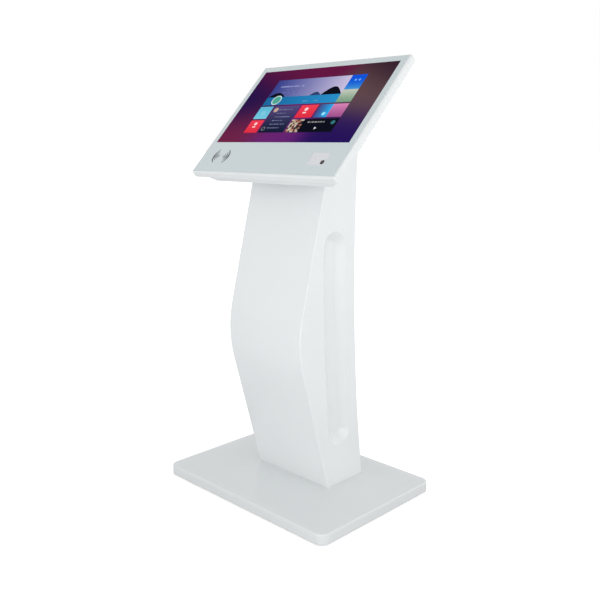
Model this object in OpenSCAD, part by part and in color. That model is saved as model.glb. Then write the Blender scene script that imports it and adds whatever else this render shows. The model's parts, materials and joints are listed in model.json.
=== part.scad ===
// Free-standing touchscreen kiosk: a steel base, a bowed column and a tilted 21.5 inch touch head.
// Millimetres. Origin at the middle of the base on the floor, +X to the user's right,
// -Y towards the user, +Z up.

/* [Base] */
// Width of the base, left to right
base_w = 600; // [520:10:700]
// Depth of the base, front to back
base_d = 430; // [400:10:500]
// Height of the base top above the floor
base_h = 30; // [28:1:36]
// Plan radius of the base corners
base_r = 25; // [15:1:40]

/* [Column] */
// Width of the column
col_w = 268; // [264:1:290]
// Thickness of the column's sheet steel
sheet = 2; // [1.5:0.1:2.5]
// Height at which the two front faces would meet
knee_z = 438.5; // [430:0.5:445]
// How far that corner lies in front of the origin
knee_out = 129; // [126:1:132]
// Lean of the lower front face from vertical, in degrees
lean_low = 15.6; // [15:0.1:16]
// Lean of the upper front face from vertical, in degrees
lean_up = 14.4; // [14:0.1:15]
// Radius of the bow between the two front faces
knee_r = 310; // [280:5:340]
// Depth of the column's back face behind the origin at its hollowest point
back_out = 83.8; // [82:0.2:86]
// Radius of the back face's long hollow curve
back_r = 4670; // [4400:10:5000]

/* [Side pockets] */
// Half width of the pocket outline
pocket_r = 39; // [36:1:41]
// Depth of the pocket floor below the side face
pocket_d = 17; // [12:1:19]
// Height of the centre of the pocket's lower round end
pocket_lo = 183; // [175:1:200]
// Height of the centre of the pocket's upper round end
pocket_hi = 672; // [650:1:680]
// Distance of the pocket's centreline from the column's back edge
pocket_in = 76.5; // [74:0.5:80]

/* [Head] */
// Tilt of the screen from level, in degrees
tilt = 45.8; // [45:0.1:47]
// Height of the screen's centre
screen_z = 1029; // [1025:1:1035]
// Distance of the screen's centre behind the origin
screen_y = 31.6; // [30:0.2:33]
// Width of the screen's active area
active_w = 476.1; // [470:0.1:478]
// Height of the screen's active area
active_h = 267.8; // [264:0.1:269]
// Width of the front frame
frame_w = 519; // [514:1:524]
// Height of the frame above the screen's centre
frame_top = 157; // [156:1:160]
// Height of the frame below the screen's centre
frame_bot = 241; // [240:1:245]
// Thickness of the front frame
frame_t = 20; // [18:1:22]
// Width of the frame's visible rim
rim = 5.2; // [4:0.1:6]
// Depth of the head's rear face behind the glass
head_d = 52; // [50:1:56]

/* [Rear door] */
// Width of the door
door_w = 196; // [180:2:200]
// Height of the door's lower edge
door_lo = 442; // [436:1:450]
// Height of the door's upper edge
door_hi = 838; // [820:1:840]
// Gap all round the door
door_gap = 2; // [1.5:0.1:3]

/* [Hidden] */
$fn = 64;
// Cutting tools reach this far past the faces they cut
over = 1;
// Radial gap between a turning pin and its bore
run_gap = 0.05;
// Radial gap round a screw in a clearance hole
screw_gap = 0.3;
// Paint gap between a flat fitting and the curved back
seat_gap = 0.15;

col_x = col_w / 2;
steel = "gainsboro";
paint = "white";

// ---- base ----
base_wall = 2.5;
base_gap = 2;
base_top_t = 3;
ballast_t = 12;
ballast_inset = 6;
ballast_top = base_h - base_top_t;
foot_r = 18;
foot_x = base_w / 2 - 45;
foot_y = base_d / 2 - 45;
flange_t = 6;
base_mid_y = 52;
anchor_dx = 150;
anchor_dy = 70;
anchor_r = 7;
bolt_dx = 220;
bolt_dy = 80;
bolt_r = 5;
entry_r = 20;

// ---- column outline: y for a height z, moved in by t ----
bow_mid = [-knee_out + knee_r / cos((lean_low + lean_up) / 2) * cos((lean_low - lean_up) / 2),
           knee_z + knee_r / cos((lean_low + lean_up) / 2) * sin((lean_low - lean_up) / 2)];
back_z = 629.7;
back_mid_y = back_out + back_r;
bow_steps = 20;
back_steps = 24;
tall = 1100;

// Point on the front bow at an angle above the level line through its centre
function bow_pt(a, t) = [bow_mid[0] - (knee_r - t) * cos(a), bow_mid[1] + (knee_r - t) * sin(a)];
// Front outline from height z0 upwards, as [y, z]
function front_pts(z0, t) =
    let (low = bow_pt(-lean_low, t), high = bow_pt(lean_up, t))
    concat([[low[0] + (low[1] - z0) * tan(lean_low), z0]],
           [for (i = [0:bow_steps]) bow_pt(-lean_low + (lean_low + lean_up) * i / bow_steps, t)],
           [[high[0] + (tall - high[1]) * tan(lean_up), tall]]);
function front_y(z, t) =
    let (low = bow_pt(-lean_low, t), high = bow_pt(lean_up, t))
    z < low[1] ? low[0] + (low[1] - z) * tan(lean_low) :
    z > high[1] ? high[0] + (z - high[1]) * tan(lean_up) :
    bow_mid[0] - sqrt(pow(knee_r - t, 2) - pow(z - bow_mid[1], 2));
function back_y(z, t) = back_mid_y - sqrt(pow(back_r + t, 2) - pow(z - back_z, 2));
// Back outline between two heights, as [y, z]
function back_pts(z0, z1, t) =
    [for (i = [0:back_steps]) let (z = z0 + (z1 - z0) * i / back_steps) [back_y(z, t), z]];
function reversed(a) = [for (i = [len(a) - 1:-1:0]) a[i]];
function back_lean(z) = asin((z - back_z) / back_r);

// Extrude a [y, z] outline from x0 to x1
module across(x0, x1)
    translate([x0, 0, 0]) rotate([90, 0, 90]) linear_extrude(x1 - x0) children();
// Place children in the head's frame: x right, y up the screen, z out of the glass
module in_head() translate([0, screen_y, screen_z]) rotate([tilt, 0, 0]) children();
// Place children on the column's back at height z: y outwards, z up the back face
module on_back(z) translate([0, back_y(z, 0), z]) rotate([-back_lean(z), 0, 0]) children();
// A cylinder along local y, from y0 to y1
module rod_y(r, y0, y1) translate([0, y1, 0]) rotate([90, 0, 0]) cylinder(r = r, h = y1 - y0);
// Four copies at the corners of a rectangle
module corners(dx, dy)
    for (x = [-dx / 2, dx / 2], y = [-dy / 2, dy / 2]) translate([x, y, 0]) children();
// Rounded rectangle from its lower left to its upper right corner
module round_rect(x0, y0, x1, y1, r) {
    translate([x0 + r, y0]) square([x1 - x0 - 2 * r, y1 - y0]);
    translate([x0, y0 + r]) square([x1 - x0, y1 - y0 - 2 * r]);
    for (x = [x0 + r, x1 - r], y = [y0 + r, y1 - r]) translate([x, y]) circle(r);
}
// Rounded block from z0 to z1
module round_block(x0, y0, x1, y1, r, z0, z1)
    translate([0, 0, z0]) linear_extrude(z1 - z0) round_rect(x0, y0, x1, y1, r);
// Box from its lowest to its highest corner
module box(a, b) translate(a) cube(b - a);
// Everything under the head's rear face, moved down by t, as a [y, z] outline
module under_head(t)
    translate([screen_y, screen_z]) rotate(tilt)
        translate([-tall, -head_d - t - tall]) square([2 * tall, tall]);
// The column's side outline above height z0, moved in by f at the front, b at the back, t at the top
module column_outline(z0, f, b, t)
    intersection() {
        polygon(concat(front_pts(z0, f), reversed(back_pts(z0, tall, b))));
        under_head(t);
    }
// Hexagon-head bolt, head down at z = 0, shank upwards
bolt_head_r = 1.8;
bolt_head_h = 1.2;
module bolt(r, len) {
    translate([0, 0, -r * bolt_head_h]) cylinder(r = r * bolt_head_r, h = r * bolt_head_h, $fn = 6);
    cylinder(r = r, h = len);
}

// ---- base modules ----
module base_cover() color(paint) difference() {
    round_block(-base_w / 2, -base_d / 2, base_w / 2, base_d / 2, base_r, base_gap, base_h);
    round_block(-base_w / 2 + base_wall, -base_d / 2 + base_wall, base_w / 2 - base_wall,
                base_d / 2 - base_wall, base_r - base_wall, base_gap - over, ballast_top);
    base_holes(base_gap, base_h);
}
module base_holes(z0, z1) translate([0, base_mid_y, z0 - over]) {
    corners(anchor_dx, anchor_dy) cylinder(r = anchor_r, h = z1 - z0 + 2 * over);
    corners(bolt_dx, bolt_dy) cylinder(r = bolt_r + screw_gap, h = z1 - z0 + 2 * over);
    cylinder(r = entry_r, h = z1 - z0 + 2 * over);
}
module ballast_plate() color(steel) difference() {
    round_block(-base_w / 2 + ballast_inset, -base_d / 2 + ballast_inset, base_w / 2 - ballast_inset,
                base_d / 2 - ballast_inset, base_r - ballast_inset, ballast_top - ballast_t, ballast_top);
    base_holes(ballast_top - ballast_t, ballast_top);
}
module base_feet() color("dimgray")
    corners(2 * foot_x, 2 * foot_y) cylinder(r = foot_r, h = ballast_top - ballast_t);
module base_bolts() color(steel) translate([0, base_mid_y, base_h + flange_t])
    corners(bolt_dx, bolt_dy) mirror([0, 0, 1]) bolt(bolt_r, flange_t + base_top_t + ballast_t);

// ---- column modules ----
module column_front_panel() color(paint) across(-col_x, col_x) intersection() {
    polygon(concat(front_pts(base_h, 0), reversed(front_pts(base_h, sheet))));
    under_head(0);
}
// A side panel with its inner face at x = 0 and its outer face at x = sheet
module side_panel() across(0, sheet) difference() {
    column_outline(base_h, sheet, 0, 0);
    polygon(pocket_line(pocket_r));
}
module column_side_right() color(paint) translate([col_x - sheet, 0, 0]) side_panel();
module column_side_left() color(paint) mirror([1, 0, 0]) translate([col_x - sheet, 0, 0]) side_panel();

// Pocket outline at half width r: round ends joined by lines that follow the back curve
pocket_steps = 10;
end_steps = 12;
function pocket_mid(z) = [back_y(z, 0) - pocket_in, z];
function pocket_line(r) = concat(
    [for (i = [0:pocket_steps])
        let (z = pocket_lo + (pocket_hi - pocket_lo) * i / pocket_steps, a = back_lean(z))
        pocket_mid(z) + r * [cos(a), -sin(a)]],
    [for (i = [1:end_steps - 1]) let (a = 180 * i / end_steps - back_lean(pocket_hi))
        pocket_mid(pocket_hi) + r * [cos(a), sin(a)]],
    [for (i = [pocket_steps:-1:0])
        let (z = pocket_lo + (pocket_hi - pocket_lo) * i / pocket_steps, a = back_lean(z))
        pocket_mid(z) - r * [cos(a), -sin(a)]],
    [for (i = [1:end_steps - 1]) let (a = 180 + 180 * i / end_steps - back_lean(pocket_lo))
        pocket_mid(pocket_lo) + r * [cos(a), sin(a)]]);
// Cross-section of the pocket's pressing, as [half width, depth from the side face]:
// a lip behind the side, a straight slope, and a bend into the flat floor
pocket_sheet = 1.2;
pocket_lip = 8;
pocket_wall = 21;
floor_bend_r = 8;
bend_steps = 5;
pocket_slope = atan((pocket_d - sheet) / pocket_wall);
function floor_bend(i, t) = let (a = pocket_slope * (1 - i / bend_steps))
    [pocket_r - pocket_wall - floor_bend_r * tan(pocket_slope / 2) + (floor_bend_r + t) * sin(a),
     pocket_d - floor_bend_r + (floor_bend_r + t) * cos(a)];
pocket_section = concat(
    [for (i = [bend_steps:-1:0]) floor_bend(i, 0)],
    [[pocket_r, sheet], [pocket_r + pocket_lip, sheet], [pocket_r + pocket_lip, sheet + pocket_sheet],
     [pocket_r + pocket_sheet * tan(pocket_slope / 2), sheet + pocket_sheet]],
    [for (i = [0:bend_steps]) floor_bend(i, pocket_sheet)]);
// A shell lofted through one closed ring per section point, closed by its floor inside and out.
// side is 1 for the right side of the column and -1 for the left
module pocket_shell(side) {
    rings = [for (s = pocket_section) [for (p = pocket_line(s[0])) [side * (col_x - s[1]), p[0], p[1]]]];
    n = len(rings[0]);
    m = len(rings);
    right_faces = concat(
        [[for (j = [0:n - 1]) j]],
        [for (k = [0:m - 2], j = [0:n - 1])
            [k * n + j, (k + 1) * n + j, (k + 1) * n + (j + 1) % n, k * n + (j + 1) % n]],
        [[for (j = [n - 1:-1:0]) (m - 1) * n + j]]);
    polyhedron(
        points = [for (ring = rings) each ring],
        faces = side > 0 ? right_faces : [for (face = right_faces) reversed(face)]);
}
module pocket_right() color(paint) pocket_shell(1);
module pocket_left() color(paint) pocket_shell(-1);

// Back panel between the sides
rear_x = col_x - sheet;
slot_w = 70;
slot_h = 5;
slot_pitch = 14;
slot_rows = 8;
slot_z0 = 210;
slot_x = 50;
cut = 10;
fit_gap = 0.2;
module stadium(w, h) {
    square([w - h, h], center = true);
    for (x = [-1, 1]) translate([x * (w - h) / 2, 0]) circle(h / 2);
}
module column_rear_panel() color(paint) difference() {
    across(-rear_x, rear_x) intersection() {
        polygon(concat(back_pts(base_h, tall, sheet), reversed(back_pts(base_h, tall, 0))));
        under_head(0);
    }
    box([-door_w / 2 - door_gap, 0, door_lo - door_gap],
        [door_w / 2 + door_gap, 2 * back_out, door_hi + door_gap]);
    for (i = [0:slot_rows - 1], side = [-1, 1])
        on_back(slot_z0 + i * slot_pitch) translate([side * slot_x, 0, 0]) rotate([90, 0, 0])
            translate([0, 0, -cut]) linear_extrude(2 * cut) stadium(slot_w, slot_h);
    on_back(fan_z) {
        rod_y(fan_duct_r, -cut, cut);
        fan_corners() rod_y(fan_screw_r + screw_gap, -cut, cut);
    }
    on_back(inlet_z) translate([inlet_x, 0, 0])
        box([-inlet_w / 2 - fit_gap, -cut, -inlet_h / 2 - fit_gap],
            [inlet_w / 2 + fit_gap, cut, inlet_h / 2 + fit_gap]);
    on_back(inlet_z) translate([button_x, 0, 0]) rod_y(button_r + fit_gap, -cut, cut);
}
// Clearance between a welded plate and the panels round it
plate_gap = 0.3;
module column_flange() color(steel) difference() {
    across(-rear_x + plate_gap, rear_x - plate_gap) intersection() {
        column_outline(base_h, sheet + 0.5, sheet + 0.5, 0);
        translate([-base_d, base_h]) square([2 * base_d, flange_t]);
    }
    base_holes(base_h, base_h + flange_t);
}
// Sloping plate that closes the column under the head
top_plate_t = 4;
head_gap = 0.2;
head_bolt_r = 4;
head_bolt_dx = 180;
head_bolt_dy = 90;
head_bolt_y = -42;
cable_hole_r = 22;
module head_holes(z0, z1) translate([0, head_bolt_y, z0 - over]) {
    corners(head_bolt_dx, head_bolt_dy) cylinder(r = head_bolt_r + screw_gap, h = z1 - z0 + 2 * over);
    cylinder(r = cable_hole_r, h = z1 - z0 + 2 * over);
}
module column_top_plate() color(steel) difference() {
    across(-rear_x + plate_gap, rear_x - plate_gap) difference() {
        column_outline(upper_z, sheet + 0.4, sheet + 0.4, head_gap);
        under_head(head_gap + top_plate_t);
    }
    in_head() head_holes(-head_d - top_plate_t - 1, -head_d);
}

// ---- shelves and electronics inside the column ----
shelf_t = 2;
lower_z = 452;
upper_z = 600;
shelf_lip = 12;
shelf_x = 112;
lower_y1 = 70;
upper_y1 = 50;
// Shelf with turned-down ends, from the front panel to just inside the door
module shelf(z, half, y0, y1) {
    box([-half, y0, z], [half, y1, z + shelf_t]);
    for (s = [0, 1]) mirror([s, 0, 0]) box([half - shelf_t, y0, z - shelf_lip], [half, y1, z]);
}
module lower_shelf() color(steel) shelf(lower_z, shelf_x, front_y(lower_z, sheet) + 3, lower_y1);
module upper_shelf() color(steel)
    shelf(upper_z, shelf_x, front_y(upper_z - shelf_lip, sheet) + 10, upper_y1);
pc_x = 95;
pc_y0 = -56;
pc_y1 = 50;
pc_z = lower_z + shelf_t;
pc_top = pc_z + 52;
port_pitch = 26;
fin_pitch = 10;
fin_t = 2.4;
fin_h = 14;
module pc_case() color("dimgray") difference() {
    round_block(-pc_x, pc_y0, pc_x, pc_y1, 4, pc_z, pc_top);
    for (i = [0:3]) translate([-76 + i * port_pitch, pc_y1 - 6, pc_z + 16]) cube([18, 10, 9]);
}
module pc_heatsink() color("silver") {
    box([-pc_x + 5, pc_y0 + 4, pc_top], [pc_x - 5, pc_y1 - 4, pc_top + 2]);
    for (i = [0:17]) translate([-pc_x + 9 + i * fin_pitch, pc_y0 + 4, pc_top + 2])
        cube([fin_t, pc_y1 - pc_y0 - 8, fin_h]);
}
psu_x = 78;
psu_y0 = -52;
psu_y1 = 36;
psu_z = upper_z + shelf_t;
psu_h = 42;
vent_pitch = 13;
module power_supply() color("silver") difference() {
    box([-psu_x, psu_y0, psu_z], [psu_x, psu_y1, psu_z + psu_h]);
    for (i = [0:9]) translate([-62 + i * vent_pitch, psu_y0 + 12, psu_z + psu_h - 2]) cube([5, 60, 3]);
    box([-psu_x + 8, psu_y1 - 6, psu_z + 8], [psu_x - 38, psu_y1 + over, psu_z + 28]);
}
strip_x = 105;
strip_y = -80;
strip_d = 44;
strip_h = 38;
socket_pitch = 62;
socket_r = 18;
socket_depth = 10;
module socket_strip() color("whitesmoke") difference() {
    box([-strip_x, strip_y - strip_d / 2, pc_z], [strip_x, strip_y + strip_d / 2, pc_z + strip_h]);
    for (i = [-1:1]) translate([i * socket_pitch, strip_y, pc_z + strip_h - socket_depth])
        cylinder(r = socket_r, h = socket_depth + over);
}

// ---- power inlet and push button, low on the back ----
inlet_z = 95;
inlet_x = -40;
inlet_w = 62;
inlet_h = 30;
inlet_deep = 26;
socket_x = -13;
socket_w = 26;
socket_h = 19;
socket_deep = 17;
rocker_x = 19;
rocker_w = 13;
rocker_h = 25;
trunnion_r = 1.5;
trunnion_len = 17;
button_x = 60;
button_r = 8;
cap_r = 6;
module power_inlet() color("black") on_back(inlet_z) translate([inlet_x, 0, 0]) difference() {
    union() {
        box([-inlet_w / 2 - 6, seat_gap, -inlet_h / 2 - 4], [inlet_w / 2 + 6, 3, inlet_h / 2 + 4]);
        box([-inlet_w / 2, -inlet_deep, -inlet_h / 2], [inlet_w / 2, seat_gap, inlet_h / 2]);
    }
    translate([socket_x, 0, 0]) difference() {
        box([-socket_w / 2, -socket_deep, -socket_h / 2], [socket_w / 2, 4, socket_h / 2]);
        for (x = [-7, 0, 7]) translate([x, 0, x == 0 ? -3 : 3]) box([-1, -socket_deep, -2], [1, -3, 2]);
    }
    translate([rocker_x, 0, 0])
        box([-rocker_w / 2, -14, -rocker_h / 2], [rocker_w / 2, 4, rocker_h / 2]);
    translate([rocker_x, -1, 0]) trunnion(trunnion_r, trunnion_len);
}
// Cylinder along x, centred
module trunnion(r, len) rotate([0, 90, 0]) translate([0, 0, -len / 2]) cylinder(r = r, h = len);
// Rocker: a shallow V across the face, turning on its own trunnions
module rocker_switch() color("firebrick") on_back(inlet_z) translate([inlet_x + rocker_x, -1, 0]) {
    across(-rocker_w / 2 + 0.5, rocker_w / 2 - 0.5)
        polygon([[1.5, 0], [5.2, 11], [3.4, 11.4], [-3, 9], [-8, 4],
                 [-8, -4], [-3, -9], [1.2, -11.4], [3.2, -11]]);
    trunnion(trunnion_r - run_gap, trunnion_len - 0.4);
}
module button_body() color("silver") on_back(inlet_z) translate([button_x, 0, 0]) difference() {
    union() {
        rod_y(button_r + 3, seat_gap, 2.5);
        rod_y(button_r, -24, seat_gap);
    }
    rod_y(cap_r, -6, 3);
}
module button_cap() color("gray") on_back(inlet_z)
    translate([button_x, 0, 0]) rod_y(cap_r - 0.1, -3, 3.4);

// ---- exhaust fan above the door ----
fan_z = 905;
fan_half = 30;
fan_bolt_half = 25;
fan_duct_r = 27;
fan_y0 = -sheet - 20;
fan_y1 = -sheet;
blades = 7;
fan_screw_r = 1.7;
fan_hub_r = 11;
fan_pin_r = 2;
blade_lean = 38;
module fan_frame() color("dimgray") on_back(fan_z) {
    difference() {
        box([-fan_half, fan_y0, -fan_half], [fan_half, fan_y1, fan_half]);
        rod_y(fan_duct_r, fan_y0 - over, fan_y1 + over);
        fan_corners() rod_y(fan_screw_r, fan_y0 - over, fan_y1 + over);
    }
    rod_y(fan_hub_r + 1, fan_y0, fan_y0 + 3);
    for (a = [45, 135]) rotate([0, a, 0]) difference() {
        box([-fan_duct_r - 1, fan_y0, -2], [fan_duct_r + 1, fan_y0 + 3, 2]);
        rod_y(5, fan_y0 - over, fan_y0 + 4);
    }
    rod_y(fan_pin_r, fan_y0, fan_y0 + 12);
}
module fan_rotor() color("black") on_back(fan_z) difference() {
    union() {
        rod_y(fan_hub_r, fan_y0 + 4, fan_y1 - 1);
        for (i = [0:blades - 1]) rotate([0, i * 360 / blades, 0])
            translate([0, (fan_y0 + fan_y1) / 2 + 1.5, 0]) rotate([0, 0, blade_lean])
                box([-0.8, -7, fan_hub_r - 1], [0.8, 7, fan_duct_r - 2]);
    }
    rod_y(fan_pin_r + run_gap, fan_y0 + 3, fan_y0 + 13);
}
// Wire finger guard: rings on a cross, with an eye at each fan screw
guard_y = 0.2;
guard_wire = 0.8;
guard_reach = 35;
module fan_guard() color("black") on_back(fan_z) difference() {
    union() {
        for (r = [8, 14, 20, 26]) difference() {
            rod_y(r + guard_wire, guard_y + 0.6, guard_y + 0.6 + 2 * guard_wire);
            rod_y(r - guard_wire, guard_y, guard_y + 3);
        }
        for (a = [45, 135]) rotate([0, a, 0])
            box([-guard_reach, guard_y, -0.9], [guard_reach, guard_y + 2 * guard_wire, 0.9]);
        fan_corners() rod_y(4, guard_y, guard_y + 2 * guard_wire);
    }
    fan_corners() rod_y(fan_screw_r + screw_gap, guard_y - over, guard_y + 3);
}
module fan_corners()
    for (x = [-1, 1], z = [-1, 1]) translate([x * fan_bolt_half, 0, z * fan_bolt_half]) children();
module fan_screws() color("silver") on_back(fan_z) fan_corners() {
    rod_y(fan_screw_r, fan_y0 + 2, guard_y + 2 * guard_wire);
    rod_y(3, guard_y + 2 * guard_wire, guard_y + 2 * guard_wire + 2);
}

// ---- rear service door on two butt hinges, with a cam lock ----
door_lip = 8;
hinge_x = -door_w / 2 - door_gap / 2;
hinge_y = 93.5;
knuckle_r = 4;
pin_r = 2;
hinge_zs = [505, 775];
hinge_half = 25;
knuckle_gap = 0.4;
leaf_out = 90.5;
leaf_w = 24;
lock_x = 78;
lock_z = 640;
lock_r = 9.5;
lock_rim_r = 12;
barrel_r = 5;
cam_t = 2.5;
cam_w = 14;
cam_reach = 30;
key_w = 1.6;
key_h = 5.2;
cam_y = 70;
module door_band(t0, t1, z0, z1)
    polygon(concat(back_pts(z0, z1, t1), reversed(back_pts(z0, z1, t0))));
// A shallow tray: its skin follows the back and its edges are turned in
module rear_door() color(paint) difference() {
    across(-door_w / 2, door_w / 2) door_band(0, door_lip, door_lo, door_hi);
    across(-door_w / 2 + sheet, door_w / 2 - sheet)
        door_band(sheet, door_lip + over, door_lo + sheet, door_hi - sheet);
    translate([lock_x, 0, lock_z]) rod_y(lock_r, 60, 100);
}
// One hinge leaf, from the curved back out to a flat face
module leaf(zc, x0, x1) across(x0, x1)
    polygon(concat(back_pts(zc - hinge_half, zc + hinge_half, -seat_gap),
                   [[leaf_out, zc + hinge_half], [leaf_out, zc - hinge_half]]));
module knuckle(z0, z1, bore_r, side) difference() {
    union() {
        translate([hinge_x, hinge_y, z0]) cylinder(r = knuckle_r, h = z1 - z0);
        box([side > 0 ? hinge_x : hinge_x - knuckle_r - 3, leaf_out - 1.2, z0],
            [side > 0 ? hinge_x + knuckle_r + 3 : hinge_x, leaf_out + 1, z1]);
    }
    translate([hinge_x, hinge_y, z0 - over]) cylinder(r = bore_r, h = z1 - z0 + 2 * over);
}
module hinge_leaves_fixed() color("silver") for (zc = hinge_zs) {
    leaf(zc, hinge_x - door_gap / 2 - leaf_w, hinge_x - knuckle_r - 0.6);
    for (s = [-1, 1]) knuckle(zc + s * 17 - 8, zc + s * 17 + 8, pin_r, -1);
}
module hinge_leaves_door() color("silver") for (zc = hinge_zs) {
    leaf(zc, hinge_x + knuckle_r + 0.6, hinge_x + door_gap / 2 + leaf_w);
    knuckle(zc - 9 + knuckle_gap, zc + 9 - knuckle_gap, pin_r + run_gap, 1);
}
module hinge_pins() color("silver") for (zc = hinge_zs)
    translate([hinge_x, hinge_y, zc - 27]) {
        cylinder(r = pin_r, h = 54);
        translate([0, 0, 52]) cylinder(r = 3.2, h = 3);
    }
module lock_body() color("silver") translate([lock_x, 0, lock_z]) difference() {
    union() {
        rod_y(lock_r, cam_y + 4, back_out + seat_gap);
        rod_y(lock_rim_r, back_out + seat_gap, back_out + 3);
    }
    rod_y(barrel_r, cam_y + 4 - over, back_out + 4);
}
// Key barrel and cam turn together; the cam hangs down when the lock is open
module lock_cam() color("silver") translate([lock_x, 0, lock_z]) difference() {
    union() {
        rod_y(barrel_r - run_gap, cam_y + 2, back_out + 3.4);
        rod_y(9, cam_y, cam_y + cam_t);
        box([-cam_w / 2, cam_y, -cam_reach], [cam_w / 2, cam_y + cam_t, 0]);
        rod_y(barrel_r, cam_y - 3, cam_y);
    }
    box([-key_w / 2, back_out - 4, -key_h / 2], [key_w / 2, back_out + 4, key_h / 2]);
}
module lock_keeper() color("silver")
    box([door_w / 2 + door_gap + 1, cam_y + 3.2, lock_z - 14],
        [door_w / 2 + door_gap + 15, back_out - sheet, lock_z + 14]);

// ---- head ----
glass_x = frame_w / 2 - rim - 0.3;
glass_top = frame_top - rim - 0.3;
glass_bot = frame_bot - rim - 0.3;
glass_t = 4;
tape_t = 1;
ledge = 5;
ledge_t = 1.6;
corner_r = 5;
glass_r = 2.5;
wall_inset = 0.8;
module head_rect(grow, r, z0, z1)
    round_block(-frame_w / 2 - grow, -frame_bot - grow, frame_w / 2 + grow, frame_top + grow, r, z0, z1);
module head_frame() color(paint) in_head() difference() {
    head_rect(0, corner_r, -frame_t, 0);
    head_rect(-rim, glass_r + 0.3, -glass_t - tape_t, over);
    head_rect(-rim - ledge, 2, -frame_t - over, 0);
    head_rect(-rim + wall_inset, 2, -frame_t - over, -glass_t - tape_t - ledge_t);
}
module glass_tape() color("black") in_head() difference() {
    head_rect(-rim - 0.5, glass_r, -glass_t - tape_t, -glass_t);
    head_rect(-rim - ledge, 2, -glass_t - 3, -glass_t + 1);
}
scan_x = 176;
scan_y = -185.5;
scan_w = 53;
scan_h = 38;
sensor_x = scan_x + 18.5;
sensor_y = scan_y - 10.5;
sensor_r = 5.8;
sensor_half = 6.5;
module cover_glass() color("honeydew") in_head() difference() {
    round_block(-glass_x, -glass_bot, glass_x, glass_top, glass_r, -glass_t, 0);
    box([scan_x - scan_w / 2 - fit_gap, scan_y - scan_h / 2 - fit_gap, -glass_t - over],
        [scan_x + scan_w / 2 + fit_gap, scan_y + scan_h / 2 + fit_gap, over]);
}
lcd_x = 245;
lcd_y = 144;
lcd_back = -16;
lcd_front = -glass_t - 1.2;
module lcd_module() color("black") in_head() {
    box([-lcd_x, -lcd_y, lcd_back], [lcd_x, lcd_y, lcd_front]);
    box([-active_w / 2, -active_h / 2, lcd_front], [active_w / 2, active_h / 2, lcd_front + 1]);
}
rail_back = lcd_back - 6;
rail_y = 95;
board_t = 1.6;
module lcd_rails() color(steel) in_head() for (y = [-rail_y, rail_y])
    box([-lcd_x + 7, y - 10, rail_back], [lcd_x - 7, y + 10, lcd_back]);
module display_board() color("darkgreen") in_head() {
    box([30, -100, rail_back - board_t], [150, 100, rail_back]);
    for (i = [0:2]) box([42 + i * 36, -60, rail_back - 12], [66 + i * 36, -44, rail_back - board_t]);
    box([60, 20, rail_back - 9], [90, 50, rail_back - board_t]);
}
module touch_controller() color("darkgreen") in_head() {
    box([-60, -215, -12], [20, -175, -10.4]);
    box([-40, -205, -15], [-20, -185, -12]);
    box([0, -200, -10.4], [6, -190, -glass_t]);
}
module rfid_board() color("darkgreen") in_head() {
    box([-224, -218, -9], [-144, -158, -7.4]);
    for (x = [-219, -149], y = [-213, -163]) translate([x, y, -7.4]) cylinder(r = 3, h = 3.4);
    box([-195, -200, -12], [-175, -180, -9]);
}
module scanner_bezel() color(paint) in_head() difference() {
    round_block(scan_x - scan_w / 2, scan_y - scan_h / 2, scan_x + scan_w / 2, scan_y + scan_h / 2,
                1.5, -6.5, 0.4);
    sensor_oval(fit_gap, -7, 1);
}
// Upright oval of the sensor, grown by g
module sensor_oval(g, z0, z1) translate([sensor_x, sensor_y, z0]) linear_extrude(z1 - z0) rotate(90)
    stadium(2 * (sensor_half + g), 2 * (sensor_r + g));
module scanner_sensor() color("black") in_head()
    sensor_oval(0, -6.5, 0.9);
module scanner_board() color("darkgreen") in_head() {
    box([scan_x - 24, scan_y - 22, -8.2], [scan_x + 24, scan_y + 22, -6.6]);
    box([scan_x - 10, scan_y - 10, -13], [scan_x + 10, scan_y + 6, -8.2]);
}
// Oval speaker that fires down through the slots in the head's lower wall
speaker_x = 105;
speaker_w = -31;
speaker_slots = 7;
mouth_w = 66;
mouth_h = 14;
module speaker() in_head() translate([0, -frame_bot + 24, speaker_w]) {
    difference() {
        box([-38, 0, -9], [38, 5, 9]);
        translate([0, -over, 0]) rotate([-90, 0, 0]) linear_extrude(7) stadium(mouth_w, mouth_h);
    }
    translate([0, 3, 0]) rotate([-90, 0, 0]) linear_extrude(3) stadium(mouth_w, mouth_h);
    box([-14, 6, -7], [14, 18, 7]);
}
module speaker_left() color("dimgray") translate([-speaker_x, 0, 0]) speaker();
module speaker_right() color("dimgray") translate([speaker_x, 0, 0]) speaker();

// Rear tray: upright for a short way behind the frame, then its sides fold in to a narrower back.
// Each step is [inset at the sides, inset at top and bottom].
tray_t = 2;
tray_front = [16, 12];
tray_mid = [29, 14];
tray_back = [47, 16];
tray_knee = 39;
module tray_rect(inset, grow, z0, z1)
    round_block(-frame_w / 2 + inset[0] + grow, -frame_bot + inset[1] + grow,
                frame_w / 2 - inset[0] - grow, frame_top - inset[1] - grow, 6, z0, z1);
module tray(grow, z_shift) hull() {
    tray_rect(tray_front, grow, -frame_t - 0.1, -frame_t + (z_shift > 0 ? over : 0));
    tray_rect(tray_mid, grow, -tray_knee - 0.1, -tray_knee);
    tray_rect(tray_back, grow, -head_d + z_shift, -head_d + z_shift + 0.1);
}
cover_x = 150;
cover_lo = 48;
cover_hi = 108;
cover_t = 1.5;
cover_screw_r = 1.5;
head_slot_pitch = 9;
cover_slot_pitch = 11;
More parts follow.
